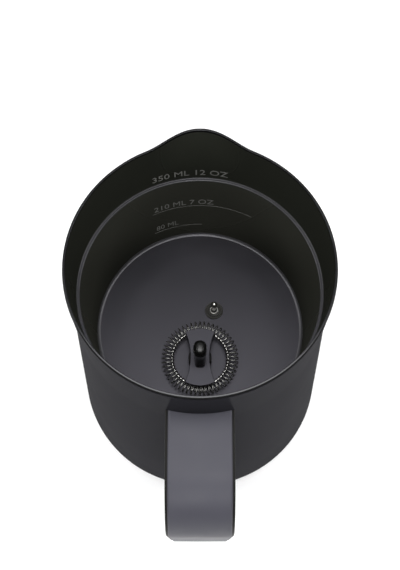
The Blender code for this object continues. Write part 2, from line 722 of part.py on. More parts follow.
def make_whisk_frame():
    """The hourglass bridge, with posts between the coil's turns down to the hoop that carries the coil."""
    end_y = math.sqrt(BRIDGE_RADIUS**2 - BRIDGE_END**2)
    side_x = (BRIDGE_END**2 + end_y**2 - BRIDGE_WAIST**2) / (2.0 * (BRIDGE_END - BRIDGE_WAIST))
    side_radius = side_x - BRIDGE_WAIST
    side_half = math.degrees(math.asin(end_y / side_radius))
    end_half = math.degrees(math.asin(BRIDGE_END / BRIDGE_RADIUS))
    middle = (0.0, WHISK_Y)
    outline = arc(middle, BRIDGE_RADIUS, 90.0 - end_half, 90.0 + end_half, 8)
    outline += arc((-side_x, WHISK_Y), side_radius, side_half, -side_half, 8)[1:]
    outline += arc(middle, BRIDGE_RADIUS, 270.0 - end_half, 270.0 + end_half, 8)[1:]
    outline += arc((side_x, WHISK_Y), side_radius, 180.0 + side_half, 180.0 - side_half, 8)[1:-1]
    low, high = BRIDGE_LEVEL - BRIDGE_THICKNESS / 2.0, BRIDGE_LEVEL + BRIDGE_THICKNESS / 2.0
    frame = slab("whisk_bridge", outline, low, high, "satin_steel", 0.15)

    hoop = [(HOOP_RADIUS + dr, HOOP_LEVEL + dz) for dr, dz in arc((0.0, 0.0), HOOP_WIRE, 30.0, 330.0, 5)]
    join(frame, turned("whisk_hoop", hoop, None, middle, COIL_TURNS))
    post_top = low + BRIDGE_THICKNESS / 2.0
    size = (0.55, 0.35, post_top - HOOP_LEVEL)
    centre = (HOOP_RADIUS, 0.0, (post_top + HOOP_LEVEL) / 2.0)
    for turn in HOOP_POST_TURNS:
        post = box(f"whisk_post_{turn}", size, centre, None, 0.0)
        about = Matrix.Rotation(2.0 * math.pi * (turn + 7.0 / 8.0) / COIL_TURNS, 4, "Z")
        post.matrix_world = Matrix.Translation(Vector((0.0, WHISK_Y * MM, 0.0))) @ about
        join(frame, post)
    return low, high


def make_grip(seat):
    """The finger grip: a slim stem along Y that swells into a rounded head."""
    shape = [
        (0.0, 2.3, 5.0),
        (0.6, 2.2, 4.9),
        (4.5, 2.1, 4.2),
        (8.0, 2.2, 3.7),
        (10.0, 2.6, 3.55),
        (11.8, 2.85, 3.6),
        (13.3, 2.7, 3.4),
        (14.1, 2.1, 2.7),
        (GRIP_HEIGHT, 0.9, 1.2),
    ]
    sections = []
    for height, half_x, half_y in shape:
        section = []
        for dx, dy in arc((0.0, 0.0), 1.0, 0.0, 337.5, 15):
            square = max(abs(dx), abs(dy)) ** -0.45
            section.append((half_x * dx * square, WHISK_Y + half_y * dy * square, seat + height))
        sections.append(section)
    bm = bmesh.new()
    sweep(bm, sections, closed=False)
    return finish_object("whisk_grip", bm, "gloss_black", 60.0)


def make_whisk():
    low, high = make_whisk_frame()
    make_coil()
    make_grip(high + GAP)
    bush_top, bush_bottom = low - GAP, FLOOR_HEIGHT + GAP
    bore = PIVOT_RADIUS
    profile = [
        (0.0, FLOOR_HEIGHT + PIVOT_HEIGHT + GAP),
        (bore, FLOOR_HEIGHT + PIVOT_HEIGHT + GAP),
        (bore, bush_bottom),
        (BUSH_RADIUS - 0.2, bush_bottom),
        (BUSH_RADIUS, bush_bottom + 0.3),
        (BUSH_RADIUS, bush_top - 0.3),
        (BUSH_RADIUS - 0.2, bush_top),
        (0.0, bush_top),
    ]
    turned("whisk_bush", profile, "dark_plastic", (0.0, WHISK_Y), 24)
    for which, offset in (("front", MAGNET_OFFSET), ("back", -MAGNET_OFFSET)):
        magnet = disc_profile(2.4, low - GAP - 3.2, low - GAP, 0.3)
        turned(f"whisk_magnet_{which}", magnet, "magnet", (0.0, WHISK_Y + offset), 16)


def make_button():
    """Start button low on the body under the handle. Its plunger slides in the switch's well."""
    face = body_radius(BUTTON_HEIGHT) + 0.5
    back = 50.0
    pieces = [
        ("button_bezel", ring_profile(7.2, 8.2, back, face, 0.2), "satin_steel", 24),
        ("button_light_ring", ring_profile(5.9, 6.9, back + 2.0, face - 0.4), "light_guide", 24),
        ("start_button", disc_profile(BUTTON_RADIUS, back + 2.5, face + 0.3, 0.4), "gloss_black", 24),
        ("switch_plunger", disc_profile(1.2, back - 1.1, back + 2.2), "white_plastic", 10),
    ]
    for name, profile, finish, sides in pieces:
        lay_along_y(turned(name, profile, finish, sides=sides), 0.0, 0.0, BUTTON_HEIGHT)
    well = [(0.0, 46.6), (3.0, 46.6), (3.0, back - 0.6), (1.6, back - 0.6), (1.6, 47.4), (0.0, 47.4)]
    lay_along_y(turned("switch_body", well, "dark_plastic", sides=12), 0.0, 0.0, BUTTON_HEIGHT)
    box("switch_board", (14.0, 1.2, 12.0), (0.0, -45.6, BUTTON_HEIGHT), "board_green", 0.0)


def lead(name, points, radius, finish):
    """An insulated wire through a few points."""
    curve = bpy.data.curves.new(name, "CURVE")
    curve.dimensions = "3D"
    curve.bevel_depth = radius * MM
    curve.bevel_resolution = 1
    curve.use_fill_caps = True
    spline = curve.splines.new("POLY")
    spline.points.add(len(points) - 1)
    for spot, point in zip(spline.points, points):
        spot.co = (*(Vector(point) * MM), 1.0)
    curve.materials.append(material_for(name, finish))
    bpy.context.scene.collection.objects.link(bpy.data.objects.new(name, curve))


def make_leads(motor_low):
    board_top = BOARD_HEIGHT + 1.6 + GAP
    for which, side, finish in (("left", -1.0, "blue_insulation"), ("right", 1.0, "red_insulation")):
        terminal_x, terminal_y = at_angle(36.5, -90.0 + side * 26.5)
        points = [
            (terminal_x, terminal_y, 64.2),
            (terminal_x, terminal_y, 58.0),
            (side * 14.0, -30.0, 46.0),
            (side * 7.0, -29.0, 38.0),
            (side * 7.0, -29.0, board_top + 10.4),
        ]
        lead(f"heater_lead_{which}", points, 1.0, finish)
        points = [
            (side * 4.0, WHISK_Y, motor_low - GAP),
            (side * 4.0, WHISK_Y, motor_low - 5.0),
            (side * 7.0, WHISK_Y + 4.0, 30.0),
            (side * 7.0, WHISK_Y + 4.0, board_top),
        ]
        lead(f"motor_lead_{which}", points, 0.7, finish)


def group_moving_parts():
    """Parents each moving body to an empty on its joint's axis."""
    groups = {
        "whisk_axis": (
            (0.0, WHISK_Y, COIL_LEVEL),
            ("whisk_bush", "whisk_bridge", "whisk_coil", "whisk_grip")
            + ("whisk_magnet_front", "whisk_magnet_back"),
        ),
        "drive_axis": (
            (0.0, WHISK_Y, FLOOR_HEIGHT),
            ("drive_rotor", "motor_shaft", "drive_magnet_front", "drive_magnet_back"),
        ),
        "button_axis": (
            (0.0, -body_radius(BUTTON_HEIGHT), BUTTON_HEIGHT),
            ("start_button", "switch_plunger"),
        ),
    }
    for name, (place, members) in groups.items():
        empty = bpy.data.objects.new(name, None)
        empty.location = Vector(place) * MM
        bpy.context.scene.collection.objects.link(empty)
        bpy.context.view_layer.update()
        for member in members:
            piece = bpy.data.objects[member]
            held = piece.matrix_world.copy()
            piece.parent = empty
            piece.matrix_parent_inverse = empty.matrix_world.inverted()
            piece.matrix_world = held


def main():
    clear_scene()
    make_pot()
    make_body()
    make_handle()
    make_base()
    make_chassis()
    make_coupler()
    make_electronics()
    plate_bottom = make_heating()
    motor_low = make_drive(plate_bottom)
    make_probe()
    make_pivot()
    make_whisk()
    make_button()
    make_leads(motor_low)
    group_moving_parts()


main()
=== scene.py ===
"""Looks of the milk frother jug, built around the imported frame.

Lengths are millimetres, and MM turns them into Blender's metres. The jug's axis is the Z axis, the
spout points to +Y and the handle to -Y. A profile is a list of (radius, height) points.
"""

import json
import math

import bmesh
import bpy
from mathutils import Matrix, Vector


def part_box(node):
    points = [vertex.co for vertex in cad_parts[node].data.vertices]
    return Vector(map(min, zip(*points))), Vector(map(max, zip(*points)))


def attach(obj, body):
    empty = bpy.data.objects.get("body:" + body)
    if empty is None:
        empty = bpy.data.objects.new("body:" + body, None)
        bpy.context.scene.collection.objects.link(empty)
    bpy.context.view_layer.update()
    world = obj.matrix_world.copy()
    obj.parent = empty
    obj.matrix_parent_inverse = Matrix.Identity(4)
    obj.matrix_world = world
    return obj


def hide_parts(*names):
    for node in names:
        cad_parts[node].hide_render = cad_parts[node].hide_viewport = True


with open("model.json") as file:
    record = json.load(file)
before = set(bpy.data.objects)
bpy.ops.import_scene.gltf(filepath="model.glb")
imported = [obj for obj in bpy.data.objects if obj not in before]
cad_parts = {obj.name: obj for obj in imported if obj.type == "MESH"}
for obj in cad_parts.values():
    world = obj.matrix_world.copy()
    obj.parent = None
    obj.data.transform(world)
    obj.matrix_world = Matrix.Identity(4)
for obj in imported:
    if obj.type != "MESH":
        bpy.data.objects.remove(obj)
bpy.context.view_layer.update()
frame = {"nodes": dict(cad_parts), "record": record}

MM = 0.001


def node_box(node):
    """Lowest and highest corner of a CAD node, in millimetres."""
    low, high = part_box(node)
    return low / MM, high / MM


# Pot. The rim's height and radius are read from the frame.
RIM_HEIGHT = node_box("inner_pot")[1].z
RIM_RADIUS = node_box("inner_pot")[1].x
POT_WALL = 0.4
POT_SIDES = 240
NECK_DEPTH = 1.0
BEAD_RADIUS = 0.525
FLANGE_DEPTH = 1.3
CROWN_WIDTH = 0.65
CROWN_ROUND = 0.14
CROWN_DROP = 0.02
ROLL_INSET = 0.15
LEDGE_HEIGHT = RIM_HEIGHT - 28.2
LEDGE_RADIUS = 48.4
LEDGE_WIDTH = 1.4
LEDGE_ROUND = 0.45
FLOOR_HEIGHT = RIM_HEIGHT - 79.0
FLOOR_THICKNESS = 1.2
FLOOR_WALL_RADIUS = 45.2
FLOOR_FILLET = 1.3

# Bands of painted highlight on the pot's rounded edges: how far they stand off the coating and reach into it
BAND_LIFT = 0.03
BAND_SINK = -0.1

# Pouring spout, shared by pot and body
SPOUT_REACH = 5.5
SPOUT_HALF_ANGLE = math.radians(24.6)
SPOUT_DEPTH = 24.0
SPOUT_FADE = 1.6

# Depths under the rim of the rings of points through the spout
POT_DROPS = (2.5, 4.5, 7.0, 10.0, 13.0, 16.5, 20.0, 24.0)
BODY_DROPS = (4.0, 5.5, 7.5, 10.0, 13.0, 16.5, 20.0, 24.0)

# Painted body: nearly upright above its crease, a cone below
NECK_RADIUS = 50.1
BODY_TOP_DEPTH = 2.8
BODY_TOP_ROUND = 0.12
BODY_WALL = 0.4
BODY_WALL_MIDDLE = 0.9
BODY_WALL_BASE = 1.7
CREASE_HEIGHT = RIM_HEIGHT - 34.0
CREASE_RADIUS = 50.35
CREASE_BLEND = 5.0
CREASE_BULGE = 0.03
BASE_RADIUS = node_box("outer_body")[1].x
BASE_ROUND_HEIGHT = 7.0
BASE_ROUND = 5.9

# Handle strap, its corners as (y, z)
HANDLE_TOP = node_box("handle_cover")[1].z
HANDLE_REACH = 93.95
HANDLE_ROOT_Y = -44.0
HANDLE_FOOT = (-88.0, 33.0)
HANDLE_FOOT_ROOT = (HANDLE_ROOT_Y, 37.125)
HANDLE_CORNER_RADII = (22.0, 19.0)
HANDLE_COVER_WIDTH = 23.8
HANDLE_COVER_THICKNESS = 3.0
HANDLE_COVER_OVERLAP = 0.2
HANDLE_WIDTH = 25.7
HANDLE_THICKNESS = 10.5
HANDLE_GRIP_SINK = 0.55
HANDLE_ROOT_SINK = 0.2

# Whisk
WHISK_Y = -15.0
COIL_LEVEL = FLOOR_HEIGHT + 3.7
COIL_RADIUS = 13.95
COIL_HALF_WIDTH = 2.6
COIL_HALF_HEIGHT = 1.6
COIL_WIRE = 0.25
COIL_TURNS = 52
HOOP_RADIUS = 12.15
HOOP_LEVEL = COIL_LEVEL + 0.25
HOOP_WIRE = 0.32
BRIDGE_LOW, BRIDGE_HIGH = COIL_LEVEL + 2.1, COIL_LEVEL + 3.1
BRIDGE_RADIUS = 12.8
BRIDGE_WAIST = 4.1
BRIDGE_END = 6.4
BRIDGE_EDGE = 0.22
BUSH_RADIUS = 5.0
BUSH_BORE_RADIUS = 1.5
BUSH_BORE_DEPTH = 3.4
BUSH_EDGE = 0.3

# Finger grip, as rows of height, half width across the plate and half width along it
GRIP_ROWS = [(0.0, 2.4, 5.0), (0.6, 2.32, 4.9), (4.5, 2.2, 4.25), (8.0, 2.25, 3.75), (10.0, 2.6, 3.6)]
GRIP_ROWS += [(11.8, 2.85, 3.6), (13.0, 2.55, 3.3)]
GRIP_HEIGHT = 14.8

# Temperature probe
PROBE = (6.2, 8.0)
PROBE_SEAL_RADIUS = 4.0
PROBE_SEAL_RIB = 2.6
PROBE_COLLAR_RADIUS = 1.6
PROBE_COLLAR_WIRE = 0.25
PROBE_NECK_RADIUS = 0.84
PROBE_HEAD_RADIUS = 1.35
PROBE_HEAD_LENGTH = 3.0
PROBE_HEIGHT = 9.8

# Level marks: how far the ink stands off the wall and reaches into it, and how high print and lines are
INK_LIFT = 0.035
INK_SINK = -0.02
LETTER_HEIGHT = 4.0
LINE_HEIGHT = 0.34
LINE_LEFT = -20.8

# Start button, on an axis along -Y
BUTTON_HEIGHT = 20.0
BUTTON_SIDES = 72
BUTTON_HOLE_RADIUS = 8.4
BUTTON_HOLE_BACK = 52.0
BUTTON_HOLE_DEPTH = 12.0
BEZEL_RADII = (7.2, 8.2)
BEZEL_BACK = 50.0
GLOW_RADII = (5.9, 6.95)
GLOW_BACK = 52.0
GLOW_SINK = 0.4
CAP_RADIUS = 5.6
CAP_BACK = 52.5
CAP_EDGE = 0.5

# Base: its screws, the cover's standing ring and levels, and the cordless socket
BASE_SCREW_CIRCLE = 42.0
BASE_SCREW_ANGLES = (90.0, 210.0, 330.0)
STANDING_RING = (46.7, 51.6)
COVER_BORE = 14.4
COVER_UNDERSIDE = 1.7
COVER_GROOVE = 2.1
COVER_INSIDE = 4.0
COVER_TOP = 10.5
SOCKET_HUB_RADIUS = 4.0
SOCKET_GROOVE_RADIUS = 11.4
SOCKET_GROOVE_TOP = 12.0
SOCKET_RADIUS = 14.0
SOCKET_FLANGE_RADIUS = 18.0
SOCKET_TOP = 15.6

# Viewpoint: how far behind the jug's axis and above the rim it is, how steeply it looks down, and its lens
CAMERA_BACK = 123.3
CAMERA_ABOVE_RIM = 316.9
CAMERA_PITCH = math.radians(70.08)
CAMERA_LENS = 59.16

# Sockets of the colour mix node, and the range that most of a noise lies in
MIX_FACTOR, MIX_FIRST, MIX_SECOND, MIX_RESULT = 0, 6, 7, 2
NOISE_LOW, NOISE_HIGH = 0.3, 0.7

# Edges that turn by more than these degrees stay crisp
SMOOTH_ANGLE = 30.0
CAD_SMOOTH_ANGLE = 35.0
PLATE_SMOOTH_ANGLE = 10.0
GRIP_SMOOTH_ANGLE = 60.0
WIRE_SMOOTH_ANGLE = 180.0


# ---------------------------------------------------------------- materials


def new_material(name, colour, roughness, metallic=0.0, ior=1.5):
    """A plain material and its shader node."""
    material = bpy.data.materials.new(name)
    material.use_nodes = True
    shader = material.node_tree.nodes["Principled BSDF"]
    for socket, value in (("Base Color", (*colour, 1.0)), ("Roughness", roughness), ("Metallic", metallic)):
        shader.inputs[socket].default_value = value
    shader.inputs["IOR"].default_value = ior
    return material, shader


def add_node(material, kind, **settings):
    """A new node, with its sockets and properties set by name."""
    node = material.node_tree.nodes.new(kind)
    for key, value in settings.items():
        if key in node.inputs:
            node.inputs[key].default_value = value
        else:
            setattr(node, key, value)
    return node


def link(material, source, target):
    material.node_tree.links.new(source, target)


def object_point(material, stretch=(1.0, 1.0, 1.0)):
    """The point on the object in its own coordinates, in metres, stretched for marks that run one way."""
    coordinates = add_node(material, "ShaderNodeTexCoord")
    mapping = add_node(material, "ShaderNodeMapping")
    mapping.inputs["Scale"].default_value = stretch
    link(material, coordinates.outputs["Object"], mapping.inputs["Vector"])
    return mapping.outputs["Vector"]


def noise(material, point, size, detail=3.0):
    """Noise whose lumps are about size millimetres across."""
    node = add_node(material, "ShaderNodeTexNoise", Scale=1.0 / (size * MM), Detail=detail)
    link(material, point, node.inputs["Vector"])
    return node.outputs["Fac"]


def spread(material, value, low, high):
    """Maps the middle range of a noise value to the range low to high."""
    node = add_node(material, "ShaderNodeMapRange")
    node.inputs["From Min"].default_value = NOISE_LOW
    node.inputs["From Max"].default_value = NOISE_HIGH
    node.inputs["To Min"].default_value = low
    node.inputs["To Max"].default_value = high
    link(material, value, node.inputs["Value"])
    return node.outputs["Result"]


def mottle(material, shader, value, colour, amount):
    """Varies the base colour by a share of itself, as a noise value says."""
    mix = add_node(material, "ShaderNodeMix", data_type="RGBA")
    mix.inputs[MIX_FIRST].default_value = (*[c * (1.0 - amount) for c in colour], 1.0)
    mix.inputs[MIX_SECOND].default_value = (*[c * (1.0 + amount) for c in colour], 1.0)
    link(material, value, mix.inputs[MIX_FACTOR])
    link(material, mix.outputs[MIX_RESULT], shader.inputs["Base Color"])


def emboss(material, shader, value, depth, strength=1.0):
    """Bump of about depth millimetres."""
    bump = add_node(material, "ShaderNodeBump", Strength=strength, Distance=depth * MM)
    link(material, value, bump.inputs["Height"])
    link(material, bump.outputs["Normal"], shader.inputs["Normal"])


def moulded(name, colour, roughness, grain=0.35, depth=0.02, ior=1.45):
    """Moulded plastic: fine spark-eroded grain, a little uneven in gloss."""
    material, shader = new_material(name, colour, roughness, ior=ior)
    point = object_point(material)
    fine = noise(material, point, grain)
    broad = noise(material, point, 9.0)
    mottle(material, shader, broad, colour, 0.08)
    link(material, spread(material, broad, roughness - 0.04, roughness + 0.04), shader.inputs["Roughness"])
    emboss(material, shader, fine, depth)
    return material


def satin(name, colour, gloss, roughness, grain=0.6, depth=0.001):
    """Metallic non-stick coating: mostly matt, with a share of even gloss that doesn't flare at the edges."""
    material, shader = new_material(name, colour, roughness, metallic=gloss, ior=1.01)
    shader.inputs["Specular Tint"].default_value = (0.0, 0.0, 0.0, 1.0)
    point = object_point(material)
    broad = noise(material, point, 14.0)
    mottle(material, shader, broad, colour, 0.03)
    link(material, spread(material, broad, roughness - 0.02, roughness + 0.02), shader.inputs["Roughness"])
    emboss(material, shader, noise(material, point, grain, 2.0), depth, 0.3)
    return material


def lacquered(name, colour, coat, coat_roughness):
    """Matt paint under a thin satin lacquer, with a faint orange peel."""
    material, shader = new_material(name, colour, 0.6, ior=1.01)
    shader.inputs["Coat Weight"].default_value = coat
    shader.inputs["Coat Roughness"].default_value = coat_roughness
    point = object_point(material)
    broad = noise(material, point, 16.0)
    mottle(material, shader, broad, colour, 0.04)
    link(material, spread(material, broad, 0.55, 0.65), shader.inputs["Roughness"])
    emboss(material, shader, noise(material, point, 0.9, 2.0), 0.002, 0.4)
    return material


def metal(name, colour, roughness, stretch=(1.0, 1.0, 1.0), grain=0.4, depth=0.003, share=1.0):
    """Bare metal with fine drawing or turning marks, and a share of bare shine over a dull film."""
    material, shader = new_material(name, colour, roughness, metallic=share)
    point = object_point(material, stretch)
    marks = noise(material, point, grain, 2.0)
    mottle(material, shader, marks, colour, 0.06)
    link(material, spread(material, marks, roughness - 0.05, roughness + 0.07), shader.inputs["Roughness"])
    emboss(material, shader, marks, depth)
    return material


def printed(name, colour):
    """Pad-printed ink."""
    material, shader = new_material(name, colour, 0.6)
    point = object_point(material)
    mottle(material, shader, noise(material, point, 0.3), colour, 0.10)
    return material


MATERIALS = {
    "painted_body": lacquered("satin_grey_paint", (0.0162, 0.0160, 0.0192), 0.058, 0.18),
    "pot_coating": satin("dark_non_stick", (0.0415, 0.0405, 0.0465), 0.53, 0.30),
    "handle_cover": moulded("handle_cover_grey", (0.039, 0.0385, 0.051), 0.50, 0.25, 0.010, 1.40),
    "dark_plastic": moulded("dark_moulding", (0.0052, 0.0050, 0.0044), 0.50, 0.35, 0.02, 1.22),
    "gloss_black": moulded("polished_black", (0.006, 0.006, 0.006), 0.27, 2.0, 0.002, 1.42),
    "satin_steel": satin("whisk_plate_coating", (0.052, 0.051, 0.059), 0.46, 0.34),
    "spring_steel": metal("spring_wire", (0.23, 0.228, 0.22), 0.22, share=0.85),
    "steel": metal("turned_steel", (0.60, 0.59, 0.57), 0.16, (1.0, 1.0, 8.0), depth=0.0008),
    "fastener_steel": metal("plated_fastener", (0.50, 0.50, 0.50), 0.30),
    "rubber": moulded("silicone_seal", (0.030, 0.029, 0.026), 0.55, 0.3, 0.006, 1.42),
    "brass": metal("brass_contact", (0.62, 0.44, 0.18), 0.28, (1.0, 1.0, 6.0)),
    "aluminium": metal("pressed_aluminium", (0.62, 0.62, 0.64), 0.34, (1.0, 6.0, 1.0)),
    "white_plastic": moulded("natural_moulding", (0.62, 0.60, 0.54), 0.50),
    "circuit_board": moulded("solder_mask", (0.015, 0.105, 0.040), 0.38, 1.2, 0.006),
    "magnet": metal("nickel_plate", (0.42, 0.42, 0.43), 0.22),
    "light_guide": moulded("milky_guide", (0.72, 0.74, 0.78), 0.30, 0.6, 0.002),
    "relay_case": moulded("relay_blue", (0.020, 0.070, 0.330), 0.36),
    "red_insulation": moulded("red_sleeve", (0.420, 0.020, 0.015), 0.42),
    "blue_insulation": moulded("blue_sleeve", (0.020, 0.060, 0.330), 0.42),
}

# Looks of single pieces and faces that differ a little from their slot's material. The wall, step, floor edge
# and roll looks are lit and shaded copies of the pot's coating: painted light and shade.
LEVEL_INK = printed("level_ink", (0.16, 0.16, 0.15))
# Painted shade on the upper wall and painted light on the lower wall: darker and lighter copies of one
# coating, standing in for how light reaches the pot's inside
UPPER_WALL_PAINTED_SHADE = satin("upper_wall_painted_shade", (0.0355, 0.0375, 0.0300), 0.53, 0.30)
LOWER_WALL_PAINTED_LIGHT = satin("lower_wall_painted_light", (0.0620, 0.0630, 0.0520), 0.53, 0.30)
# Painted highlights: lighter copies of the coating on the step's rounded corners and on the floor's edge
STEP_PAINTED_HIGHLIGHT = satin("step_painted_highlight", (0.052, 0.052, 0.054), 0.55, 0.30)
FLOOR_EDGE_PAINTED_HIGHLIGHT = satin("floor_edge_painted_highlight", (0.092, 0.091, 0.098), 0.45, 0.30)
CROWN_COATING = satin("crown_coating", (0.040, 0.040, 0.042), 0.92, 0.15)
BRUSHED_COLLAR = metal("brushed_collar", (0.55, 0.54, 0.52), 0.42, depth=0.0008)
# Painted shade: a darker copy of the coating on the rim's outer roll, where shade falls under the crown
ROLL_PAINTED_SHADE = satin("roll_painted_shade", (0.018, 0.018, 0.018), 0.50, 0.35)


# ---------------------------------------------------------------- mesh helpers


def make_piece(name, bm, slot, body, replaces=(), smooth_angle=SMOOTH_ANGLE, finish=None):
    """A finished piece from a bmesh in millimetres, riding on a body. A finish replaces its slot's look."""
    bmesh.ops.recalc_face_normals(bm, faces=bm.faces)
    bmesh.ops.scale(bm, vec=(MM, MM, MM), verts=bm.verts)
    mesh = bpy.data.meshes.new(name)
    bm.to_mesh(mesh)
    bm.free()
    mesh.shade_smooth()
    mesh.set_sharp_from_angle(angle=math.radians(smooth_angle))
    obj = bpy.data.objects.new(name, mesh)
    bpy.context.scene.collection.objects.link(obj)
    if body is None:
        return obj
    mesh.materials.append(finish or MATERIALS[slot])
    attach(obj, body)
    if replaces:
        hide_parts(*replaces)
    return obj


def arc(centre, radius, start, end, steps):
    """Points on an arc from one angle to another, in degrees."""
    points = []
    for k in range(steps + 1):
        angle = math.radians(start + (end - start) * k / steps)
        points.append((centre[0] + radius * math.cos(angle), centre[1] + radius * math.sin(angle)))
    return points


def lathe_mesh(profile, sides, centre=(0.0, 0.0), push=None):
    """A solid of revolution about a centre. The push adds to the radius by angle and height."""
    bm = bmesh.new()
    rings = []
    for radius, z in profile:
        ring = []
        for k in range(sides if radius else 1):
            angle = 2.0 * math.pi * k / sides
            reach = radius + (push(angle, z) if push and radius else 0.0)
            x = centre[0] + reach * math.cos(angle)
            ring.append(bm.verts.new((x, centre[1] + reach * math.sin(angle), z)))
        rings.append(ring)
    pairs = list(zip(rings, rings[1:]))
    if profile[0][0] > 0.0:
        pairs.append((rings[-1], rings[0]))
    for ring, following in pairs:
        for k in range(sides):
            n = (k + 1) % sides
            corners = [ring[k % len(ring)], ring[n % len(ring)]]
            corners += [following[n % len(following)], following[k % len(following)]]
            bm.faces.new(list(dict.fromkeys(corners)))
    return bm


def lathe(name, profile, slot, body, replaces=(), sides=96, centre=(0.0, 0.0), push=None, finish=None):
    """A turned piece."""
    return make_piece(name, lathe_mesh(profile, sides, centre, push), slot, body, replaces, finish=finish)


def sweep_mesh(sections, closed):
    """A tube through sections with the same number of points, joined to a loop or capped at both ends."""
    bm = bmesh.new()
    rings = [[bm.verts.new(point) for point in section] for section in sections]
    count = len(rings[0])
    pairs = list(zip(rings, rings[1:]))
    if closed:
        pairs.append((rings[-1], rings[0]))
    for ring, following in pairs:
        for i in range(count):
            j = (i + 1) % count
            bm.faces.new((ring[i], ring[j], following[j], following[i]))
    if not closed:
        bm.faces.new(rings[0])
        bm.faces.new(rings[-1])
    return bm


def prism_mesh(outline, low, high, bevel, steps=3):
    """An outline in the XY plane made into a plate with rounded edges."""
    bm = bmesh.new()
    face = bm.faces.new([bm.verts.new((x, y, low)) for x, y in outline])
    raised = bmesh.ops.extrude_face_region(bm, geom=[face])["geom"]
    tops = [item for item in raised if isinstance(item, bmesh.types.BMVert)]
    bmesh.ops.translate(bm, vec=(0.0, 0.0, high - low), verts=tops)
    rims = [edge for edge in bm.edges if abs(edge.verts[0].co.z - edge.verts[1].co.z) < 1e-6]
    bmesh.ops.bevel(bm, geom=rims, offset=bevel, segments=steps, affect="EDGES", profile=0.5)
    return bm


def rounded_ring(inner, outer, low, high, radius, steps=4):
    """The section of a ring with rounded corners."""
    profile = arc((outer - radius, low + radius), radius, -90.0, 0.0, steps)
    profile += arc((outer - radius, high - radius), radius, 0.0, 90.0, steps)
    profile += arc((inner + radius, high - radius), radius, 90.0, 180.0, steps)
    profile += arc((inner + radius, low + radius), radius, 180.0, 270.0, steps)
    return profile


def cutter_mesh(name, bm):
    """A hidden shape for carve. It has no slot and no body."""
    obj = make_piece(name, bm, None, None)
    obj.hide_render = True
    obj.hide_viewport = True
    return obj


def carve(obj, cutter):
    """Cuts one mesh from another for good, and removes the cutter."""
    cutter.hide_viewport = False
    modifier = obj.modifiers.new("cut", "BOOLEAN")
    modifier.object = cutter
    modifier.solver = "EXACT"
    bpy.context.view_layer.update()
    evaluated = obj.evaluated_get(bpy.context.evaluated_depsgraph_get())
    mesh = bpy.data.meshes.new_from_object(evaluated)
    obj.modifiers.clear()
    old = obj.data
    obj.data = mesh
    bpy.data.meshes.remove(old)
    bpy.data.objects.remove(cutter)
    mesh.shade_smooth()
    mesh.set_sharp_from_angle(angle=math.radians(SMOOTH_ANGLE))


def along_y(bm, x, y, z):
    """Lays an upright mesh down so that its +Z runs towards -Y, and moves it into place."""
    bmesh.ops.rotate(bm, matrix=Matrix.Rotation(math.radians(90.0), 3, "X"), verts=bm.verts)
    bmesh.ops.translate(bm, vec=(x, y, z), verts=bm.verts)
    return bm


# ---------------------------------------------------------------- jug


def spout_push(angle, z):
    """How far the wall is pushed out at this angle and height."""
    off = abs((angle - math.pi / 2.0 + math.pi) % (2.0 * math.pi) - math.pi)
    if off >= SPOUT_HALF_ANGLE:
        return 0.0
    fade = min(1.0, max(0.0, 1.0 - (RIM_HEIGHT - z) / SPOUT_DEPTH))
    return SPOUT_REACH * math.cos(math.pi / 2.0 * off / SPOUT_HALF_ANGLE) ** 2 * fade**SPOUT_FADE


def body_radius(z):
    """Outer radius of the painted body. A short blend rounds its crease off."""
    if z >= CREASE_HEIGHT:
        share = (z - CREASE_HEIGHT) / (RIM_HEIGHT - CREASE_HEIGHT)
        radius = CREASE_RADIUS + (NECK_RADIUS - CREASE_RADIUS) * share
    else:
        share = (z - BASE_ROUND_HEIGHT) / (CREASE_HEIGHT - BASE_ROUND_HEIGHT)
        radius = BASE_RADIUS + (CREASE_RADIUS - BASE_RADIUS) * share
    near = max(0.0, 1.0 - abs(z - CREASE_HEIGHT) / CREASE_BLEND)
    return radius + CREASE_BULGE * near * near


def upper_wall_radius(z):
    """Inner radius of the pot above the step."""
    top = RIM_RADIUS - 2.0 * BEAD_RADIUS
    share = (z - LEDGE_HEIGHT) / (RIM_HEIGHT - BEAD_RADIUS - LEDGE_HEIGHT)
    return LEDGE_RADIUS + (top - LEDGE_RADIUS) * share


def lower_wall_radius(z):
    """Inner radius of the pot below the step."""
    low, high = FLOOR_HEIGHT + FLOOR_FILLET, LEDGE_HEIGHT - LEDGE_ROUND
    share = (z - low) / (high - low)
    return FLOOR_WALL_RADIUS + (LEDGE_RADIUS - LEDGE_WIDTH - FLOOR_WALL_RADIUS) * share


def ledge_nose(lift):
    """The rounded inner corner of the step in the pot's wall, raised off the wall by lift."""
    inner = LEDGE_RADIUS - LEDGE_WIDTH + LEDGE_ROUND
    return arc((inner, LEDGE_HEIGHT - LEDGE_ROUND), LEDGE_ROUND + lift, 180.0, 90.0, 6)


def ledge_root(lift):
    """The rounded corner between the step and the wall above it, raised by lift."""
    outer = LEDGE_RADIUS - LEDGE_ROUND
    return arc((outer, LEDGE_HEIGHT + LEDGE_ROUND), LEDGE_ROUND - lift, -90.0, 0.0, 6)


def floor_edge(lift):
    """The rounded corner between the floor and the wall, raised by lift."""
    centre = (FLOOR_WALL_RADIUS - FLOOR_FILLET, FLOOR_HEIGHT + FLOOR_FILLET)
    return arc(centre, FLOOR_FILLET - lift, -90.0, 0.0, 10)


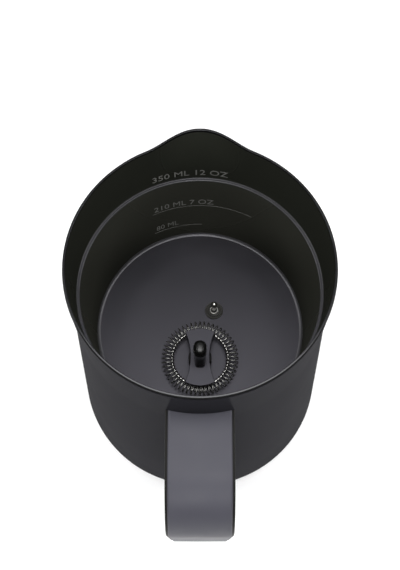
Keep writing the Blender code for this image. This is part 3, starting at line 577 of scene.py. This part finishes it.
def pot():
    """The coated pot: floor, step and walls, its rolled rim, and lighter bands of painted highlight on step
    and floor edge.
    """
    neck = RIM_HEIGHT - NECK_DEPTH
    spout_levels = [RIM_HEIGHT - drop for drop in POT_DROPS]
    inside = [(0.0, FLOOR_HEIGHT), (20.0, FLOOR_HEIGHT), (36.0, FLOOR_HEIGHT)]
    inside += floor_edge(0.0) + ledge_nose(0.0) + ledge_root(0.0)
    inside += [(upper_wall_radius(z), z) for z in reversed(spout_levels)]
    inside += [(upper_wall_radius(neck), neck), (upper_wall_radius(neck) + POT_WALL, neck)]
    outside = [(upper_wall_radius(z) + POT_WALL, z) for z in spout_levels]
    outside += [
        (LEDGE_RADIUS + POT_WALL, LEDGE_HEIGHT - 0.5),
        (LEDGE_RADIUS - LEDGE_WIDTH + POT_WALL, LEDGE_HEIGHT - 1.1),
        (FLOOR_WALL_RADIUS + POT_WALL, FLOOR_HEIGHT + 0.6),
        (FLOOR_WALL_RADIUS - 0.7, FLOOR_HEIGHT - FLOOR_THICKNESS),
        (0.0, FLOOR_HEIGHT - FLOOR_THICKNESS),
    ]
    profile = inside + outside
    lining = lathe("pot_lining", profile, "pot_coating", "jug", ["inner_pot"], POT_SIDES, push=spout_push)
    lining.data.materials.append(UPPER_WALL_PAINTED_SHADE)
    lining.data.materials.append(LOWER_WALL_PAINTED_LIGHT)
    upper_wall, lower_wall = 1, 2
    # Faces above the step get the darker painted-shade coating, and faces of the lower wall get the lighter
    # painted-light coating
    for face in lining.data.polygons:
        height = face.center.z / MM
        if height > LEDGE_HEIGHT + LEDGE_ROUND:
            face.material_index = upper_wall
        elif FLOOR_HEIGHT + FLOOR_FILLET < height < LEDGE_HEIGHT - LEDGE_ROUND:
            face.material_index = lower_wall
    # Bands over the step's corners and the floor's edge carry the painted highlights
    for name, edge, coating in (
        ("pot_step_nose_highlight", ledge_nose, STEP_PAINTED_HIGHLIGHT),
        ("pot_step_root_highlight", ledge_root, STEP_PAINTED_HIGHLIGHT),
        ("pot_floor_edge_highlight", floor_edge, FLOOR_EDGE_PAINTED_HIGHLIGHT),
    ):
        ring = edge(BAND_LIFT) + list(reversed(edge(BAND_SINK)))
        lathe(name, ring, "pot_coating", "jug", (), POT_SIDES, finish=coating)
    rim()


def rim():
    """The rolled rim: a narrow flat crown, and a roll that falls away outwards, darker than the coating as
    painted shade.
    """
    inner, low = RIM_RADIUS - 2.0 * BEAD_RADIUS, RIM_HEIGHT - FLANGE_DEPTH
    crown_edge = inner + CROWN_WIDTH
    corner = (inner + CROWN_ROUND, RIM_HEIGHT - CROWN_ROUND)
    crown = [(inner, low)] + arc(corner, CROWN_ROUND, 180.0, 90.0, 5)
    crown += [(crown_edge, RIM_HEIGHT - CROWN_DROP), (crown_edge, low)]

    roll_width, roll_depth = 2.0 * BEAD_RADIUS - CROWN_WIDTH, FLANGE_DEPTH - ROLL_INSET
    roll = [(crown_edge, low)]
    for k in range(11):
        angle = math.pi / 2.0 * k / 10
        fall = CROWN_DROP + (roll_depth - CROWN_DROP) * (1.0 - math.cos(angle))
        roll.append((crown_edge + roll_width * math.sin(angle), RIM_HEIGHT - fall))
    roll += [(RIM_RADIUS - ROLL_INSET, low)]

    for name, profile, coating in (
        ("pot_rim_crown", crown, CROWN_COATING),
        ("pot_rim_roll", roll, ROLL_PAINTED_SHADE),
    ):
        lathe(name, profile, "pot_coating", "jug", (), POT_SIDES, push=spout_push, finish=coating)


def body():
    """The painted shell, with its spout and the button's hole."""
    top = RIM_HEIGHT - BODY_TOP_DEPTH
    spout_levels = [RIM_HEIGHT - drop for drop in BODY_DROPS]
    levels = spout_levels + [RIM_HEIGHT - 29.0, RIM_HEIGHT - 31.5]
    levels += [CREASE_HEIGHT + rise for rise in (1.2, 0.0, -1.2, -2.5, -5.0)]
    outside = [(body_radius(top) - BODY_TOP_ROUND, top), (body_radius(top), top - BODY_TOP_ROUND)]
    outside += [(body_radius(z), z) for z in levels] + [(body_radius(66.0), 66.0)]
    outside += arc((BASE_RADIUS - BASE_ROUND, BASE_ROUND_HEIGHT), BASE_ROUND, 0.0, -76.0, 14)
    inside = [(54.0, 2.6), (56.0, 4.6), (BASE_RADIUS - BODY_WALL_BASE, BASE_ROUND_HEIGHT + 0.5)]
    inside += [(CREASE_RADIUS - BODY_WALL_MIDDLE, CREASE_HEIGHT)]
    inside += [(body_radius(z) - BODY_WALL, z) for z in reversed(spout_levels)]
    inside += [(body_radius(top) - BODY_WALL + 0.1, top)]
    profile = outside + inside
    piece = lathe("body_shell", profile, "painted_body", "jug", ["outer_body"], POT_SIDES, push=spout_push)
    depth = BUTTON_HOLE_DEPTH
    hole = [(0.0, 0.0), (BUTTON_HOLE_RADIUS, 0.0), (BUTTON_HOLE_RADIUS, depth), (0.0, depth)]
    hole = along_y(lathe_mesh(hole, 64), 0.0, -BUTTON_HOLE_BACK, BUTTON_HEIGHT)
    carve(piece, cutter_mesh("button_hole_cutter", hole))


def rounded_path(corners, radii, steps):
    """A line through corners, with an arc in place of each inner corner."""
    path = [corners[0]]
    for before, corner, after, radius in zip(corners, corners[1:], corners[2:], radii):
        into = (before - corner).normalized()
        out = (after - corner).normalized()
        half = into.angle(out) / 2.0
        reach = radius / math.tan(half)
        centre = corner + (into + out).normalized() * (radius / math.sin(half))
        start, end = corner + into * reach, corner + out * reach
        for k in range(steps + 1):
            spoke = (start - centre).lerp(end - centre, k / steps)
            path.append(centre + spoke.normalized() * radius)
    path.append(corners[-1])
    return path


def strap(name, width, near, far, slot, round_near, round_far, replaced):
    """A band of the handle between two depths under its outer surface, with rounded edges."""
    corners = [Vector((HANDLE_ROOT_Y, HANDLE_TOP)), Vector((-HANDLE_REACH, HANDLE_TOP))]
    corners += [Vector(HANDLE_FOOT), Vector(HANDLE_FOOT_ROOT)]
    path = rounded_path(corners, HANDLE_CORNER_RADII, 20)
    half = width / 2.0
    side = arc((half - round_near, near + round_near), round_near, -90.0, 0.0, 6)
    side += arc((half - round_far, far - round_far), round_far, 0.0, 90.0, 8)
    outline = side + [(-x, depth) for x, depth in reversed(side)]
    sections = []
    for k, point in enumerate(path):
        ahead = path[min(k + 1, len(path) - 1)] - path[max(k - 1, 0)]
        inward = Vector((-ahead.y, ahead.x)).normalized()
        section = []
        for x, depth in outline:
            spot = point + inward * depth
            section.append((x, spot.x, spot.y))
        sections.append(section)
    piece = make_piece(name, sweep_mesh(sections, False), slot, "jug", [replaced])
    levels = [0.0, 20.0, 40.0, 66.0, 90.0, CREASE_HEIGHT, RIM_HEIGHT]
    wall = [(body_radius(z) - HANDLE_ROOT_SINK, z) for z in levels]
    wall = [(0.0, 0.0)] + wall + [(0.0, RIM_HEIGHT)]
    carve(piece, cutter_mesh(f"{name}_root_cutter", lathe_mesh(wall, POT_SIDES)))


def handle():
    """The grey cover on top of the dark grip that stands out on both sides of it."""
    cover_depth = HANDLE_COVER_THICKNESS + HANDLE_COVER_OVERLAP
    strap("handle_top_cover", HANDLE_COVER_WIDTH, 0.0, cover_depth, "handle_cover", 0.7, 0.2, "handle_cover")
    grip_depths = (HANDLE_GRIP_SINK, HANDLE_THICKNESS)
    strap("handle_under_grip", HANDLE_WIDTH, *grip_depths, "dark_plastic", 0.55, 2.6, "handle_grip")


# ---------------------------------------------------------------- whisk


def coil_point(turn_angle, ring_angle):
    """A point on the wire's middle line, by its angle round the coil's ring and its angle in the turn."""
    reach = COIL_RADIUS + COIL_HALF_WIDTH * math.cos(turn_angle)
    x, y = reach * math.cos(ring_angle), WHISK_Y + reach * math.sin(ring_angle)
    return Vector((x, y, COIL_LEVEL + COIL_HALF_HEIGHT * math.sin(turn_angle)))


def coil():
    """The flattened spring, bent round to a ring."""
    points_per_turn, sides = 20, 8
    total = COIL_TURNS * points_per_turn
    step = 2.0 * math.pi / total
    sections = []
    for k in range(total):
        ring_angle, turn_angle = step * k, step * k * COIL_TURNS
        here = coil_point(turn_angle, ring_angle)
        ahead = coil_point(turn_angle + step * COIL_TURNS, ring_angle + step)
        behind = coil_point(turn_angle - step * COIL_TURNS, ring_angle - step)
        core = Vector((math.cos(ring_angle), math.sin(ring_angle), 0.0)) * COIL_RADIUS
        core += Vector((0.0, WHISK_Y, COIL_LEVEL))
        outward = (here - core).normalized()
        sideways = (ahead - behind).normalized().cross(outward).normalized()
        section = []
        for a, b in arc((0.0, 0.0), COIL_WIRE, 0.0, 360.0 - 360.0 / sides, sides - 1):
            section.append(here + outward * a + sideways * b)
        sections.append(section)
    wire = sweep_mesh(sections, True)
    make_piece("whisk_spring", wire, "spring_steel", "whisk", ["whisk_coil"], WIRE_SMOOTH_ANGLE)


def bridge():
    """The hourglass plate, its waist cut by two arcs, and the wire hoop that carries the coil."""
    end_y = math.sqrt(BRIDGE_RADIUS**2 - BRIDGE_END**2)
    side_x = (BRIDGE_END**2 + end_y**2 - BRIDGE_WAIST**2) / (2.0 * (BRIDGE_END - BRIDGE_WAIST))
    side_radius = side_x - BRIDGE_WAIST
    side_half = math.degrees(math.asin(end_y / side_radius))
    end_half = math.degrees(math.asin(BRIDGE_END / BRIDGE_RADIUS))
    middle = (0.0, WHISK_Y)
    outline = arc(middle, BRIDGE_RADIUS, 90.0 - end_half, 90.0 + end_half, 20)
    outline += arc((-side_x, WHISK_Y), side_radius, side_half, -side_half, 24)[1:]
    outline += arc(middle, BRIDGE_RADIUS, 270.0 - end_half, 270.0 + end_half, 20)[1:]
    outline += arc((side_x, WHISK_Y), side_radius, 180.0 + side_half, 180.0 - side_half, 24)[1:-1]
    plate = prism_mesh(outline, BRIDGE_LOW, BRIDGE_HIGH, BRIDGE_EDGE)
    make_piece("whisk_plate", plate, "satin_steel", "whisk", ["whisk_bridge"], PLATE_SMOOTH_ANGLE)
    hoop = arc((HOOP_RADIUS, HOOP_LEVEL), HOOP_WIRE, 0.0, 337.5, 15)
    lathe("whisk_hoop", hoop, "steel", "whisk", (), 160, middle)


def hub():
    """The bush that turns on the pin in the pot's floor."""
    low, high = (corner.z for corner in node_box("whisk_bush"))
    bore_top, edge = low + BUSH_BORE_DEPTH, BUSH_RADIUS - BUSH_EDGE
    profile = [(0.0, bore_top), (BUSH_BORE_RADIUS, bore_top), (BUSH_BORE_RADIUS, low)]
    profile += arc((edge, low + BUSH_EDGE), BUSH_EDGE, -90.0, 0.0, 4)
    profile += arc((edge, high - BUSH_EDGE), BUSH_EDGE, 0.0, 90.0, 4) + [(0.0, high)]
    lathe("whisk_hub", profile, "dark_plastic", "whisk_seat", ["whisk_bush"], 72, (0.0, WHISK_Y))


def smooth_between(table, height):
    """Half widths of the grip at a height, smoothly between the rows of its table."""
    rows = [table[0]] + table + [table[-1]]
    for before, low, high, after in zip(rows, rows[1:], rows[2:], rows[3:]):
        if height <= high[0]:
            t = (height - low[0]) / (high[0] - low[0])
            result = []
            for i in (1, 2):
                slope_low = (high[i] - before[i]) / (high[0] - before[0]) * (high[0] - low[0])
                slope_high = (after[i] - low[i]) / (after[0] - low[0]) * (high[0] - low[0])
                value = (2 * t**3 - 3 * t**2 + 1) * low[i] + (t**3 - 2 * t**2 + t) * slope_low
                value += (3 * t**2 - 2 * t**3) * high[i] + (t**3 - t**2) * slope_high
                result.append(value)
            return result
    return list(table[-1][1:])


def grip():
    """A slim stem that swells into a rounded head."""
    top_height, top_x, top_y = GRIP_ROWS[-1]
    heights = [top_height * k / 40 for k in range(41)]
    rings = [(height, *smooth_between(GRIP_ROWS, height)) for height in heights]
    for k in range(1, 12):
        angle = math.pi / 2.0 * k / 11.5
        shrink = math.cos(angle) ** 0.65
        height = top_height + (GRIP_HEIGHT - top_height) * math.sin(angle)
        rings.append((height, top_x * shrink, top_y * shrink))
    sections = []
    for height, half_x, half_y in rings:
        squareness = 0.95 - 0.04 * height
        section = []
        for dx, dy in arc((0.0, 0.0), 1.0, 0.0, 354.0, 59):
            square = (dx**4 + dy**4) ** -0.25
            swell = 1.0 + squareness * (square - 1.0)
            section.append((half_x * dx * swell, WHISK_Y + half_y * dy * swell, BRIDGE_HIGH + height))
        sections.append(section)
    knob = sweep_mesh(sections, False)
    make_piece("whisk_knob", knob, "gloss_black", "whisk", ["whisk_grip"], GRIP_SMOOTH_ANGLE)


# ---------------------------------------------------------------- probe


def probe():
    """Steel pin with a flanged head, in a slim steel collar on a ribbed silicone grommet."""
    base, outer, collar_radius = FLOOR_HEIGHT, PROBE_SEAL_RADIUS, PROBE_COLLAR_RADIUS
    bore = PROBE_NECK_RADIUS + 0.02
    seal = [(bore, base + 0.02), (outer - 0.05, base + 0.02), (outer, base + 0.2)]
    seal += arc((outer - 0.25, base + 0.4), 0.25, 0.0, 110.0, 5)
    seal += [(3.3, base + 0.5), (3.15, base + 0.3), (2.95, base + 0.3)]
    seal += arc((PROBE_SEAL_RIB, base + 0.5), 0.3, 30.0, 150.0, 5)
    seal += [(2.25, base + 0.3), (collar_radius + 0.1, base + 0.35), (collar_radius - 0.1, base + 0.6)]
    seal += [(bore, base + 0.6)]
    lathe("probe_grommet", seal, "rubber", "jug", ["probe_seal"], 64, PROBE)
    collar = arc((collar_radius, base + 1.0), PROBE_COLLAR_WIRE, -60.0, 240.0, 12)
    lathe("probe_collar", collar, "satin_steel", "jug", (), 64, PROBE, finish=BRUSHED_COLLAR)
    top, head = base + PROBE_HEIGHT, PROBE_HEAD_RADIUS
    flange = top - PROBE_HEAD_LENGTH
    pin = [(0.0, base - 1.0), (PROBE_NECK_RADIUS, base - 1.0), (PROBE_NECK_RADIUS, flange - 0.7)]
    pin += arc((head - 0.15, flange - 0.15), 0.15, -80.0, 90.0, 6)
    pin += [(head - 0.3, flange + 0.1), (head - 0.25, top - head - 0.4)]
    pin += arc((0.0, top - head), head, -10.0, 90.0, 12)[:-1] + [(0.0, top)]
    lathe("probe_stem", pin, "steel", "jug", ["probe_pin"], 48, PROBE)


# ---------------------------------------------------------------- level marks


def wall_point(radius_at, along, z, lift):
    """A point on the far wall, along millimetres right of the spout's line and lift off the wall."""
    radius = radius_at(z) - lift
    angle = math.pi / 2.0 - along / radius_at(z)
    return Vector((radius * math.cos(angle), radius * math.sin(angle), z))


def level_line(name, z, right):
    """A printed line on the lower wall, from the marks' common left end."""
    steps = 48
    low, high = z - LINE_HEIGHT / 2.0, z + LINE_HEIGHT / 2.0
    corners = ((low, INK_SINK), (low, INK_LIFT), (high, INK_LIFT), (high, INK_SINK))
    sections = []
    for k in range(steps + 1):
        along = LINE_LEFT + (right - LINE_LEFT) * k / steps
        sections.append([wall_point(lower_wall_radius, along, level, lift) for level, lift in corners])
    make_piece(name, sweep_mesh(sections, False), "pot_coating", "jug", finish=LEVEL_INK)


def level_text(name, words, radius_at, z, left, right):
    """Raised print bent round the wall, its lower edge at z, filling left to right."""
    curve = bpy.data.curves.new(name, "FONT")
    curve.body = words
    curve.size = 1.0
    curve.extrude = 0.5
    curve.resolution_u = 3
    writing = bpy.data.objects.new(name, curve)
    bpy.context.scene.collection.objects.link(writing)
    bpy.context.view_layer.update()
    mesh = bpy.data.meshes.new_from_object(writing.evaluated_get(bpy.context.evaluated_depsgraph_get()))
    bpy.data.objects.remove(writing)
    bm = bmesh.new()
    bm.from_mesh(mesh)
    bpy.data.meshes.remove(mesh)
    bmesh.ops.remove_doubles(bm, verts=bm.verts, dist=1e-5)
    low = Vector([min(v.co[i] for v in bm.verts) for i in range(3)])
    high = Vector([max(v.co[i] for v in bm.verts) for i in range(3)])
    for vert in bm.verts:
        share = (vert.co.x - low.x) / (high.x - low.x)
        rise = (vert.co.y - low.y) / (high.y - low.y)
        lift = INK_LIFT if vert.co.z > (low.z + high.z) / 2.0 else INK_SINK
        vert.co = wall_point(radius_at, left + (right - left) * share, z + LETTER_HEIGHT * rise, lift)
    make_piece(name, bm, "pot_coating", "jug", finish=LEVEL_INK)


def level_marks():
    """Three volumes, the top one just above the step and the other two over their lines."""
    level_text("mark_top", "350 ML 12 OZ", upper_wall_radius, LEDGE_HEIGHT + 2.5, -19.7, 11.3)
    level_line("line_milk", RIM_HEIGHT - 50.4, 22.9)
    level_text("mark_milk", "210 ML 7 OZ", lower_wall_radius, RIM_HEIGHT - 48.9, -20.0, 5.8)
    level_line("line_low", RIM_HEIGHT - 68.8, 0.8)
    level_text("mark_low", "80 ML", lower_wall_radius, RIM_HEIGHT - 67.0, -19.8, -9.6)


# ---------------------------------------------------------------- button and base


def button_piece(name, profile, slot, body, replaced):
    """A piece turned about the button's axis. A profile's height is its distance behind the jug's axis."""
    bm = along_y(lathe_mesh(profile, BUTTON_SIDES), 0.0, 0.0, BUTTON_HEIGHT)
    make_piece(name, bm, slot, body, [replaced])


def button():
    """Surround, light ring and the slightly hollow cap."""
    face = -node_box("button_bezel")[0].y
    cap_face = -node_box("start_button")[0].y
    bezel = rounded_ring(*BEZEL_RADII, BEZEL_BACK, face, 0.25)
    button_piece("button_surround", bezel, "satin_steel", "jug", "button_bezel")
    glow = rounded_ring(*GLOW_RADII, GLOW_BACK, face - GLOW_SINK, 0.2)
    button_piece("button_glow_ring", glow, "light_guide", "jug", "button_light_ring")
    cap = [(0.0, CAP_BACK), (CAP_RADIUS, CAP_BACK)]
    cap += arc((CAP_RADIUS - CAP_EDGE, cap_face - CAP_EDGE), CAP_EDGE, 0.0, 80.0, 6)
    cap += [(3.6, cap_face - 0.06), (1.8, cap_face - 0.2), (0.0, cap_face - 0.25)]
    button_piece("button_cap", cap, "gloss_black", "button", "start_button")


def base():
    """The cover with its standing ring, and the three screws in their wells."""
    outer = node_box("base_cover")[1].x
    ring_inner, ring_outer = STANDING_RING
    profile = [(COVER_BORE, COVER_GROOVE), (20.0, COVER_GROOVE), (20.6, COVER_UNDERSIDE)]
    profile += [(44.6, COVER_UNDERSIDE), (45.2, COVER_GROOVE), (46.3, COVER_GROOVE), (ring_inner, 0.4)]
    profile += arc((47.4, 0.4), 0.4, 180.0, 270.0, 4) + arc((50.6, 0.4), 0.4, 270.0, 360.0, 4)
    profile += [(ring_outer, 1.2), (outer - 0.3, 1.2), (outer, 1.5), (outer, COVER_TOP)]
    profile += [(ring_outer, COVER_TOP), (ring_outer, COVER_INSIDE), (COVER_BORE, COVER_INSIDE)]
    cover = lathe("base_underside", profile, "dark_plastic", "jug", ["base_cover"], 160)
    for k, degrees in enumerate(BASE_SCREW_ANGLES, 1):
        angle = math.radians(degrees)
        spot = (BASE_SCREW_CIRCLE * math.cos(angle), BASE_SCREW_CIRCLE * math.sin(angle))
        well = [(0.0, -1.0), (3.1, -1.0), (3.1, 2.0), (1.5, 2.0), (1.5, 5.0), (0.0, 5.0)]
        carve(cover, cutter_mesh(f"screw_well_cutter_{k}", lathe_mesh(well, 32, spot)))
        head = node_box(f"base_screw_{k}")[0].z
        screw = [(0.0, head + 0.9), (1.0, head + 0.75), (1.1, head)]
        screw += arc((1.5, head + 1.0), 1.0, 280.0, 360.0, 5) + [(2.5, head + 1.5), (1.25, head + 1.5)]
        screw += [(1.25, head + 10.0), (0.0, head + 10.4)]
        lathe(f"base_fastener_{k}", screw, "fastener_steel", "jug", [f"base_screw_{k}"], 32, spot)


def socket():
    """The cordless socket: a hub in a ring groove, with three contact rings."""
    profile = [(0.0, 0.0)] + arc((SOCKET_HUB_RADIUS - 0.3, 0.3), 0.3, 270.0, 360.0, 4)
    profile += [(SOCKET_HUB_RADIUS, SOCKET_GROOVE_TOP), (SOCKET_GROOVE_RADIUS, SOCKET_GROOVE_TOP)]
    profile += [(SOCKET_GROOVE_RADIUS, 1.0)] + arc((SOCKET_GROOVE_RADIUS + 0.4, 1.0), 0.4, 180.0, 270.0, 4)
    profile += arc((SOCKET_RADIUS - 0.4, 1.0), 0.4, 270.0, 360.0, 4) + [(SOCKET_RADIUS, 4.3)]
    profile += [(SOCKET_FLANGE_RADIUS, 4.3), (SOCKET_FLANGE_RADIUS, 6.0), (SOCKET_RADIUS, 6.0)]
    profile += [(SOCKET_RADIUS, SOCKET_TOP), (0.0, SOCKET_TOP)]
    lathe("socket_housing", profile, "white_plastic", "jug", ["coupler_housing"], 96)
    for which in ("inner", "middle", "outer"):
        low, high = node_box(f"coupler_contact_{which}")
        ring = rounded_ring(high.x - 0.6, high.x, low.z, high.z, 0.15, 3)
        lathe(f"socket_contact_{which}", ring, "brass", "jug", [f"coupler_contact_{which}"], 96)


def carried_over():
    """CAD nodes that keep their shape get their slot's material."""
    slots = {entry["node"]: entry["material_slot"] for entry in frame["record"]["subparts"]}
    for name, obj in frame["nodes"].items():
        material = MATERIALS[slots[name]]
        for index in range(len(obj.material_slots)):
            obj.material_slots[index].material = material
        if not obj.material_slots:
            obj.data.materials.append(material)
        obj.data.shade_smooth()
        obj.data.set_sharp_from_angle(angle=math.radians(CAD_SMOOTH_ANGLE))


# ---------------------------------------------------------------- studio


def studio():
    """White floor and surroundings, and four soft lamps. Its lengths are metres."""
    size = 6.0
    mesh = bpy.data.meshes.new("studio_floor")
    corners = [(-size, -size, 0.0), (size, -size, 0.0), (size, size, 0.0), (-size, size, 0.0)]
    mesh.from_pydata(corners, [], [(0, 1, 2, 3)])
    floor = bpy.data.objects.new("studio_floor", mesh)
    floor.location.z = -0.0002
    bpy.context.scene.collection.objects.link(floor)
    mesh.materials.append(new_material("studio_white", (0.96, 0.96, 0.96), 0.9)[0])

    world = bpy.data.worlds.new("studio")
    world.use_nodes = True
    background = world.node_tree.nodes["Background"]
    background.inputs["Color"].default_value = (1.0, 1.0, 1.0, 1.0)
    background.inputs["Strength"].default_value = 0.5
    bpy.context.scene.world = world
    bpy.context.scene.view_settings.view_transform = "Standard"

    aim = Vector((0.0, 0.0, 0.1))
    for name, place, width, watts in (
        ("overhead_softbox", (0.0, -0.05, 1.5), 0.9, 11.5),
        ("front_panel", (0.0, -0.95, 1.0), 0.40, 6.0),
        ("left_panel", (-0.95, 0.1, 1.0), 0.50, 6.5),
        ("right_panel", (0.95, 0.1, 1.0), 0.50, 6.5),
    ):
        light = bpy.data.lights.new(name, "AREA")
        light.shape = "DISK"
        light.size = width
        light.energy = watts
        lamp = bpy.data.objects.new(name, light)
        lamp.location = place
        lamp.rotation_euler = (aim - Vector(place)).to_track_quat("-Z", "Y").to_euler()
        bpy.context.scene.collection.objects.link(lamp)


def camera():
    """The viewpoint behind and above the handle."""
    data = bpy.data.cameras.new("camera")
    data.sensor_width = 36.0
    data.lens = CAMERA_LENS
    obj = bpy.data.objects.new("camera", data)
    obj.location = Vector((0.0, -CAMERA_BACK, RIM_HEIGHT + CAMERA_ABOVE_RIM)) * MM
    obj.rotation_euler = (math.pi / 2.0 - CAMERA_PITCH, 0.0, 0.0)
    data.clip_start = 0.01
    bpy.context.scene.collection.objects.link(obj)
    bpy.context.scene.camera = obj


carried_over()
pot()
body()
handle()
coil()
bridge()
hub()
grip()
probe()
level_marks()
button()
base()
socket()
studio()
camera()
